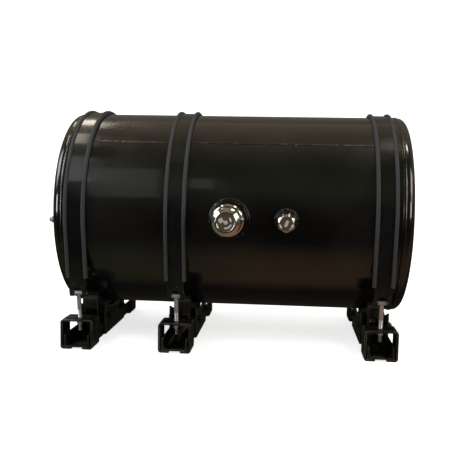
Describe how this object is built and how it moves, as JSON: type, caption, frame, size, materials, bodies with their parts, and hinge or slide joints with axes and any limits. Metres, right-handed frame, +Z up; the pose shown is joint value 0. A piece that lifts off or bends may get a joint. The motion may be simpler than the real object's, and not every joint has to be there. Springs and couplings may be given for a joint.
{
  "type": "air receiver tank",
  "caption": "Horizontal steel air receiver tank strapped down on channel beams with rubber-lined steel bands, T-bolts and cradles, with plugged front ports and a relief valve.",
  "frame": {"origin": "middle of the outer beams' bolt holes, on the beams' underside; the end brackets' lips reach 6 mm below it", "axes": "+X along the tank to the right seen from the ports' side, +Z up, -Y towards the front, where the ports are"},
  "size_m": [1.1004, 0.7405, 0.7219],
  "materials": {
    "tank_paint": "gloss black enamel",
    "strap_paint": "gloss black enamel on spring-steel band, scratched",
    "frame_paint": "satin black powder coat",
    "liner_rubber": "satin extruded rubber",
    "pad_rubber": "matt moulded rubber",
    "gasket_rubber": "matt flat gasket",
    "port_steel": "bright plated, turned",
    "plug_chrome": "bright plated, turned and polished",
    "valve_steel": "dull turned steel",
    "spring_steel": "drawn wire",
    "bolt_zinc": "bright zinc plate",
    "cross_steel": "black oxide"
  },
  "bodies": {
    "root": {"shell": "tank_paint", "head_left": "tank_paint", "head_right": "tank_paint", "girth_welds": "tank_paint", "seam_weld": "tank_paint", "main_port": "port_steel", "small_port": "port_steel", "valve_port": "tank_paint", "valve_body": "valve_steel", "valve_cap": "valve_steel", "valve_spring": "spring_steel", "beam_left": "frame_paint", "bracket_front_left": "frame_paint", "t_bolt_front_left": "bolt_zinc", "bracket_rear_left": "frame_paint", "t_bolt_rear_left": "bolt_zinc", "strap_left": "strap_paint", "liner_left": "liner_rubber", "pad_left": "pad_rubber", "cradle_left": "frame_paint", "side_plates_left": "frame_paint", "beam_middle": "frame_paint", "bracket_front_middle": "frame_paint", "t_bolt_front_middle": "bolt_zinc", "bracket_rear_middle": "frame_paint", "t_bolt_rear_middle": "bolt_zinc", "strap_middle": "strap_paint", "liner_middle": "liner_rubber", "pad_middle": "pad_rubber", "cradle_middle": "frame_paint", "side_plates_middle": "frame_paint", "beam_right": "frame_paint", "bracket_front_right": "frame_paint", "t_bolt_front_right": "bolt_zinc", "bracket_rear_right": "frame_paint", "t_bolt_rear_right": "bolt_zinc", "strap_right": "strap_paint", "liner_right": "liner_rubber", "pad_right": "pad_rubber", "cradle_right": "frame_paint", "side_plates_right": "frame_paint", "cross_bolts": "cross_steel", "cross_nuts": "cross_steel"},
    "main_gasket": {"main_gasket": "gasket_rubber"},
    "main_plug": {"main_plug": "plug_chrome"},
    "small_gasket": {"small_gasket": "gasket_rubber"},
    "small_plug": {"small_plug": "plug_chrome"},
    "valve_stem": {"valve_stem": "valve_steel"},
    "washer_front_left": {"washer_front_left": "bolt_zinc"},
    "nut_front_left": {"nut_front_left": "bolt_zinc"},
    "washer_rear_left": {"washer_rear_left": "bolt_zinc"},
    "nut_rear_left": {"nut_rear_left": "bolt_zinc"},
    "washer_front_middle": {"washer_front_middle": "bolt_zinc"},
    "nut_front_middle": {"nut_front_middle": "bolt_zinc"},
    "washer_rear_middle": {"washer_rear_middle": "bolt_zinc"},
    "nut_rear_middle": {"nut_rear_middle": "bolt_zinc"},
    "washer_front_right": {"washer_front_right": "bolt_zinc"},
    "nut_front_right": {"nut_front_right": "bolt_zinc"},
    "washer_rear_right": {"washer_rear_right": "bolt_zinc"},
    "nut_rear_right": {"nut_rear_right": "bolt_zinc"}
  },
  "joints": [
    {"name": "main_plug_out", "type": "slide", "parent": "root", "child": "main_gasket", "axis": [0, -0.9999, -0.014], "range_m": [0, 0.02772]},
    {"name": "main_plug_turn", "type": "hinge", "parent": "main_gasket", "child": "main_plug", "pos_m": [0.004, -0.30497, 0.39474], "axis": [0, -0.9999, -0.014], "range_deg": [0, 4320]},
    {"name": "small_plug_out", "type": "slide", "parent": "root", "child": "small_gasket", "axis": [0, -0.9999, -0.014], "range_m": [0, 0.02772]},
    {"name": "small_plug_turn", "type": "hinge", "parent": "small_gasket", "child": "small_plug", "pos_m": [0.166, -0.30497, 0.39474], "axis": [0, -0.9999, -0.014], "range_deg": [0, 4320]},
    {"name": "valve_lift", "type": "slide", "parent": "root", "child": "valve_stem", "axis": [-1, 0, 0], "range_m": [0, 0.003], "stiffness_N_per_m": 4000, "springref_m": -0.005, "deforming": ["valve_spring"]},
    {"name": "washer_drop_front_left", "type": "slide", "parent": "root", "child": "washer_front_left", "axis": [0, 0.165, -0.9863], "range_m": [0, 0.01172]},
    {"name": "nut_turn_front_left", "type": "hinge", "parent": "washer_front_left", "child": "nut_front_left", "pos_m": [-0.4455, -0.26469, 0.1594], "axis": [0, 0.165, -0.9863], "range_deg": [0, 2161]},
    {"name": "washer_drop_rear_left", "type": "slide", "parent": "root", "child": "washer_rear_left", "axis": [0, -0.165, -0.9863], "range_m": [0, 0.01172]},
    {"name": "nut_turn_rear_left", "type": "hinge", "parent": "washer_rear_left", "child": "nut_rear_left", "pos_m": [-0.4455, 0.26469, 0.1594], "axis": [0, -0.165, -0.9863], "range_deg": [0, 2161]},
    {"name": "washer_drop_front_middle", "type": "slide", "parent": "root", "child": "washer_front_middle", "axis": [0, 0.165, -0.9863], "range_m": [0, 0.01172]},
    {"name": "nut_turn_front_middle", "type": "hinge", "parent": "washer_front_middle", "child": "nut_front_middle", "pos_m": [-0.1525, -0.26469, 0.1594], "axis": [0, 0.165, -0.9863], "range_deg": [0, 2161]},
    {"name": "washer_drop_rear_middle", "type": "slide", "parent": "root", "child": "washer_rear_middle", "axis": [0, -0.165, -0.9863], "range_m": [0, 0.01172]},
    {"name": "nut_turn_rear_middle", "type": "hinge", "parent": "washer_rear_middle", "child": "nut_rear_middle", "pos_m": [-0.1525, 0.26469, 0.1594], "axis": [0, -0.165, -0.9863], "range_deg": [0, 2161]},
    {"name": "washer_drop_front_right", "type": "slide", "parent": "root", "child": "washer_front_right", "axis": [0, 0.165, -0.9863], "range_m": [0, 0.01172]},
    {"name": "nut_turn_front_right", "type": "hinge", "parent": "washer_front_right", "child": "nut_front_right", "pos_m": [0.4455, -0.26469, 0.1594], "axis": [0, 0.165, -0.9863], "range_deg": [0, 2161]},
    {"name": "washer_drop_rear_right", "type": "slide", "parent": "root", "child": "washer_rear_right", "axis": [0, -0.165, -0.9863], "range_m": [0, 0.01172]},
    {"name": "nut_turn_rear_right", "type": "hinge", "parent": "washer_rear_right", "child": "nut_rear_right", "pos_m": [0.4455, 0.26469, 0.1594], "axis": [0, -0.165, -0.9863], "range_deg": [0, 2161]}
  ],
  "couplings": [
    {"joint": "main_plug_out", "follows": "main_plug_turn", "m_per_rad": 0.00036749},
    {"joint": "small_plug_out", "follows": "small_plug_turn", "m_per_rad": 0.00036749},
    {"joint": "nut_turn_front_left", "follows": "washer_drop_front_left", "rad_per_m": 3215.6},
    {"joint": "nut_turn_rear_left", "follows": "washer_drop_rear_left", "rad_per_m": 3215.6},
    {"joint": "nut_turn_front_middle", "follows": "washer_drop_front_middle", "rad_per_m": 3215.6},
    {"joint": "nut_turn_rear_middle", "follows": "washer_drop_rear_middle", "rad_per_m": 3215.6},
    {"joint": "nut_turn_front_right", "follows": "washer_drop_front_right", "rad_per_m": 3215.6},
    {"joint": "nut_turn_rear_right", "follows": "washer_drop_rear_right", "rad_per_m": 3215.6}
  ]
}
